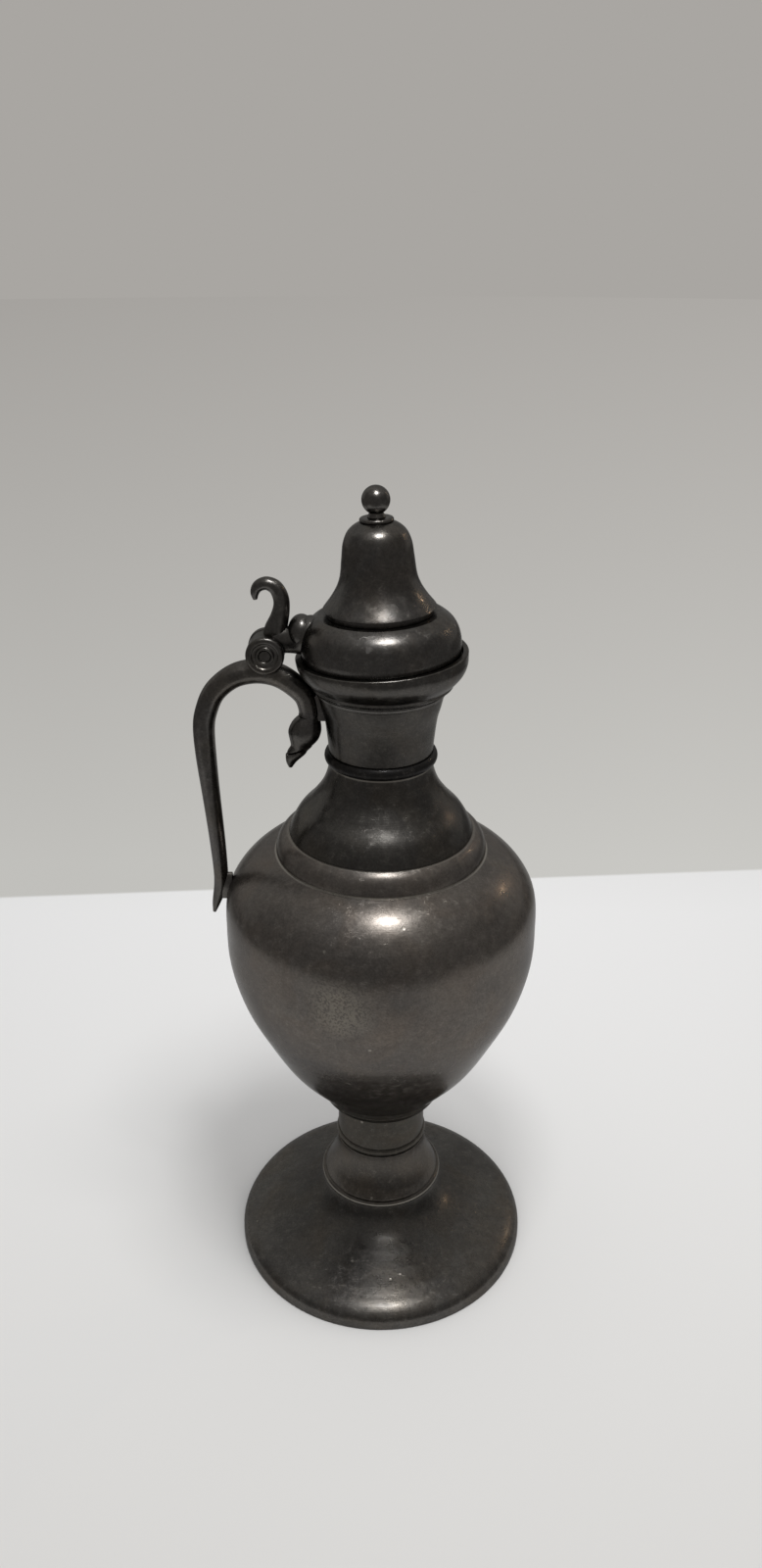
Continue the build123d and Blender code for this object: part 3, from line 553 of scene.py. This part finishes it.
# Rim cup: turned level, then its rim and its rebate are tilted
cup_side = [(20.1, cup_seat + 0.8), (21.7, cup_seat + 2.4), (22.9, cup_seat + 4),
            (23.6, cup_seat + 5.6), (23.9, cup_seat + 7.4)]
ledge = mouth_height - 1.5
mouth_low = mouth_height - 5.1
rim_cup = turned(
    [(16.0, cup_seat), (20.1, cup_seat)]
    + curve(cup_side, start=(1.3, 1), end=(0, 1))
    + arc((23.9, mouth_height - 0.5), (23.75, mouth_height - 0.15), (23.4, mouth_height), 6)
    + [(22.3, mouth_height), (22.3, ledge), (20.2, ledge)]
    + [(20.2, mouth_low), (18.8, mouth_low), (18.0, cup_seat + 1.8)]
)
rim = [v for v in rim_cup.verts if v.co.z > mouth_height - 1]
mouth = [
    v for v in rim_cup.verts
    if mouth_height - 4 < v.co.z < mouth_height - 1 and hypot(v.co.x, v.co.y) < 22.5
]
for tilted, slope in ((rim, rim_slope), (mouth, lid_lean)):
    shear = Matrix.Identity(4)
    shear[2][0] = tan(slope)
    bmesh.ops.transform(rim_cup, matrix=shear, verts=tilted)
bmesh.ops.translate(rim_cup, vec=(cup_shift, 0, 0), verts=rim_cup.verts)
piece(rim_cup, "turned_rim_cup", "jug", neck_pewter, ["rim_cup"])

# Lid, each piece in the lid's own frame
cushion_side = [(21.95, -1.2), (22.05, 0.4), (22.2, 2.2), (21.6, 6.0), (20.4, 8.4),
                (18.8, 10.0), (16.9, 11.2)]
cushion_inside = inset(cushion_side, lid_wall)
bell_bore = 13.1
cushion = turned(
    [(18.3, -1.2)]
    + curve(cushion_side)
    + [(bell_bore, 11.2), (bell_bore, cushion_inside[-1][1])]
    + curve(cushion_inside[1:])[::-1]
    + [(cushion_inside[1][0], 0.4), (18.3, 0.4)]
)
piece(cushion, "turned_lid_cushion", "lid", lid_pewter, ["lid_cushion"], lid_place)

bell_side = [(15.5, 12.9), (13.2, 15.9), (11.4, 18.9), (10.5, 21.4), (9.8, 26.4),
             (9.1, 30.9), (7.6, 33.9), (4.4, 36.0)]
bell_inside = inset(bell_side, lid_wall)
bell = turned(
    [(bell_bore, 11.2), (14.7, 11.2), (14.7, 12.7), (15.3, 12.7)]
    + curve(bell_side, start=(-2.2, 3.1))
    + [(1.4, 36.0), (1.4, bell_inside[-1][1])]
    + curve(bell_inside[1:])[::-1]
    + [(bell_bore, 12.9)]
)
piece(bell, "turned_lid_bell", "lid", lid_pewter, ["lid_bell"], lid_place)

washer = turned([(1.4, 36.0)] + arc((4.4, 36.0), (4.6, 36.55), (3.9, 37.1)) + [(1.4, 37.1)])
piece(washer, "turned_washer", "lid", lid_pewter, ["finial_washer"], lid_place)

stud_foot = bell_inside[-1][1] - 1.4
ball_top = 38.3 + (3.8**2 - 1.9**2) ** 0.5 + 3.8
finial = turned(
    [(0, stud_foot), (1.4, stud_foot), (1.4, 37.1), (2.5, 37.1)]
    + arc((1.9, 38.3), (3.8, ball_top - 3.8), (0, ball_top), 26),
    closed=False,
)
piece(finial, "turned_finial", "lid", lid_pewter, ["finial"], lid_place)

# Hinge: two dished discs with a round rim, and a raised collar round the pin's end
def across(outline, side):
    """A ring turned round the hinge's axis from (radius, distance from the middle) points."""
    bm = turned(outline)
    turn = Matrix.Rotation(radians(90 * side), 4, "X")
    bmesh.ops.transform(bm, matrix=Matrix.Translation((hinge.x, 0, hinge.z)) @ turn, verts=bm.verts)
    return bm


lug_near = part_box("rear_lug")[0].y / mm
lug_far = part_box("rear_lug")[1].y / mm
lug_outline = (
    [(1.5, lug_near), (5.3, lug_near), (5.3, lug_far - 1.0)]
    + arc((5.3, lug_far - 1.0), (4.95, lug_far - 0.2), (4.3, lug_far), 8)[1:]
    + [(3.75, lug_far - 0.1), (3.4, lug_far - 0.5), (2.75, lug_far - 0.62)]
    + arc((2.6, lug_far - 0.55), (2.15, lug_far - 0.15), (1.7, lug_far - 0.45), 6)
    + [(1.5, lug_far - 0.7)]
)
piece(across(lug_outline, 1), "cast_front_lug", "jug", cast_pewter, ["front_lug"])
piece(across(lug_outline, -1), "cast_rear_lug", "jug", cast_pewter, ["rear_lug"])

# Cast pieces keep the shape of their nodes, smooth-shaded
for node in ("handle", "throat_strut", "tail_pad", "hinge_pin"):
    piece(cast(node), "cast_" + node, "jug", cast_pewter, [node])
piece(cast("thumbpiece"), "cast_thumbpiece", "lid", cast_pewter, ["thumbpiece"])

# The arm swells to a boss where it meets the lid
boss_place = Matrix.Translation((hinge.x + 9.9, 0, hinge.z + 5.5))
boss_size = Matrix.Diagonal((3.8, 4.7, 4.9, 1))
arm = cast("hinge_arm")
boss = bmesh.ops.create_uvsphere(arm, u_segments=48, v_segments=32, radius=1.0)["verts"]
bmesh.ops.transform(arm, matrix=boss_place @ boss_size, verts=boss)
piece(arm, "cast_hinge_arm", "lid", cast_pewter, ["hinge_arm"])

# The bird's head narrows to a slanted groove, and its beak swells below it
beak_slant = 0.35
beak_height = 5.2
head = cast("bird_head")
tip = min((v.co for v in head.verts), key=lambda co: co.z).copy()
groove = tip + Vector((2.0, -tip.y, beak_height))
for rise in (-0.6, -0.4, -0.2, 0, 0.2, 0.4, 0.6):
    bmesh.ops.bisect_plane(
        head,
        geom=head.verts[:] + head.edges[:] + head.faces[:],
        plane_co=groove + Vector((0, 0, rise)),
        plane_no=(-beak_slant, 0, 1),
    )
for v in head.verts:
    off = v.co - groove
    above = off.z - beak_slant * off.x
    if above > 0:
        v.co -= Vector((off.x, off.y, 0)) * 0.2 * max(0.0, 1 - above / 0.5)
    else:
        up = max(0.0, (v.co.z - tip.z) / beak_height)
        middle = tip.x + (groove.x - tip.x) * up
        swell = sin(pi * min(up, 1))
        v.co += Vector((v.co.x - middle, v.co.y, 0)) * (0.05 + 0.3 * swell) + Vector((0.45 * swell, 0, 0))
piece(head, "cast_bird_head", "jug", cast_pewter, ["bird_head"])

# Inner pieces that stay as they were packed
for node in ("lid_skirt", "finial_rivet"):
    frame["nodes"][node].data.materials.clear()
    frame["nodes"][node].data.materials.append(lid_pewter)


# Stage: a pale table top before a grey wall, drawn on one floor, with no edge near the jug
wall_low = linear("c5c4c0")
wall_high = linear("a9a6a2")
room_low = linear("767472")
room_high = linear("aaa8a5")
room_behind = linear("b4b3b0")
room_light = linear("cfcfcf")
paper_near = linear("dddcda")
paper_far = linear("f6f6f6")
table_slant = 0.073      # how far the table's rear edge turns away, metre by metre
table_rear = 0.229       # where that edge crosses the middle, in metres
soft_edge = 0.003
camera_back = 0.31       # how far in front of the jug the camera stands

floor_mesh = bpy.data.meshes.new("floor")
floor_bm = bmesh.new()
bmesh.ops.create_circle(floor_bm, cap_ends=True, segments=128, radius=6.0)
floor_bm.to_mesh(floor_mesh)
floor_bm.free()
floor = bpy.data.objects.new("floor", floor_mesh)
bpy.context.scene.collection.objects.link(floor)

# Matt white paper near the jug, whose shadow it keeps, with painted light making it paler towards the back
floor_paint, tree, out = new_tree("pale_floor")
coords = add(tree, "ShaderNodeTexCoord").outputs["Object"]
place = add(tree, "ShaderNodeSeparateXYZ", {"Vector": coords}).outputs
paper = blend(tree, ranged(tree, place[1], -0.12, 0.2), paper_near, paper_far)
near = add(tree, "ShaderNodeBsdfDiffuse", {"Color": paper})

# A wall drawn glowing past the table's rear edge, with painted light making it paler low down and towards
# the right
slant = maths(tree, "MULTIPLY_ADD", place[0], -table_slant, place[1])
behind = ranged(tree, slant, table_rear, table_rear + soft_edge, kind="SMOOTHSTEP")
reach = maths(tree, "ADD", place[1], camera_back)
low_down = ranged(tree, maths(tree, "DIVIDE", camera_back, reach), 0.05, 0.55)
wall_grey = blend(tree, low_down, wall_high, wall_low)
rightwards = ranged(tree, maths(tree, "DIVIDE", place[0], reach), -0.3, 0.3, 0.95, 1.05)
wall_grey = blend(tree, 1.0, wall_grey, rightwards, "MULTIPLY")

# In reflections alone, the table ends in front and at the sides, and the dim room begins
front = ranged(tree, place[1], -0.22, -0.26, kind="SMOOTHSTEP")
side = ranged(tree, maths(tree, "ABSOLUTE", place[0]), 0.28, 0.42, kind="SMOOTHSTEP")
mirrored = add(tree, "ShaderNodeLightPath").outputs["Is Glossy Ray"]
beyond = maths(tree, "MULTIPLY", maths(tree, "MAXIMUM", front, side), mirrored)
far = add(tree, "ShaderNodeEmission", {"Color": blend(tree, beyond, wall_grey, room_low)})
share = maths(tree, "MAXIMUM", behind, beyond)
both = add(tree, "ShaderNodeMixShader", {0: share, 1: near.outputs[0], 2: far.outputs[0]})
tree.links.new(both.outputs[0], out.inputs["Surface"])
floor_mesh.materials.append(floor_paint)

# World: the grey wall, an even light for matt surfaces, and in reflections a dim room in front
# that is paler higher up and towards the wall behind
world = bpy.data.worlds.new("room")
bpy.context.scene.world = world
world.use_nodes = True
tree = world.node_tree
tree.nodes.clear()
way = add(tree, "ShaderNodeTexCoord").outputs["Generated"]
way = add(tree, "ShaderNodeSeparateXYZ", {"Vector": way}).outputs
room = blend(tree, ranged(tree, way[2], 0.45, 0.85, kind="SMOOTHSTEP"), room_low, room_high)
room = blend(tree, ranged(tree, way[1], 0.1, 0.6, kind="SMOOTHSTEP"), room, room_behind)
path = add(tree, "ShaderNodeLightPath").outputs
seen = blend(tree, path["Is Diffuse Ray"], wall_high, room_light)
seen = blend(tree, path["Is Glossy Ray"], seen, room)
sky = add(tree, "ShaderNodeBackground", {"Color": seen})
tree.links.new(sky.outputs[0], add(tree, "ShaderNodeOutputWorld").inputs["Surface"])


def lamp(name, place, aim, size, power, colour, mirrored=True):
    """A soft round light at a place, aimed at a point, both in metres."""
    data = bpy.data.lights.new(name, "AREA")
    data.shape = "DISK"
    data.size = size
    data.energy = power
    data.color = linear(colour)[:3]
    made = bpy.data.objects.new(name, data)
    made.location = place
    made.rotation_euler = (Vector(aim) - Vector(place)).to_track_quat("-Z", "Y").to_euler()
    made.visible_glossy = mirrored
    bpy.context.scene.collection.objects.link(made)


lamp("ceiling_lamp", (0.02, -0.11, 0.5), (0, 0, 0.12), 0.085, 0.62, "ffffff")
lamp("warm_lamp", (0.92, 0.60, 0.61), (0, 0, 0.12), 0.03, 0.22, "ffd9b0")
lamp("shadow_lamp", (0.13, -0.09, 0.72), (0, 0, 0), 0.15, 0.8, "ffffff", mirrored=False)

# Camera, where the photograph was taken from
eye_data = bpy.data.cameras.new("eye")
eye_data.sensor_fit = "VERTICAL"
eye_data.sensor_height = 36.0
eye_data.lens = 27.045
eye = bpy.data.objects.new("eye", eye_data)
eye.location = (0, -0.3084, 0.3133)
eye.rotation_euler = (radians(64.66), 0, 0)
bpy.context.scene.collection.objects.link(eye)
bpy.context.scene.camera = eye
bpy.context.scene.view_settings.view_transform = "Standard"
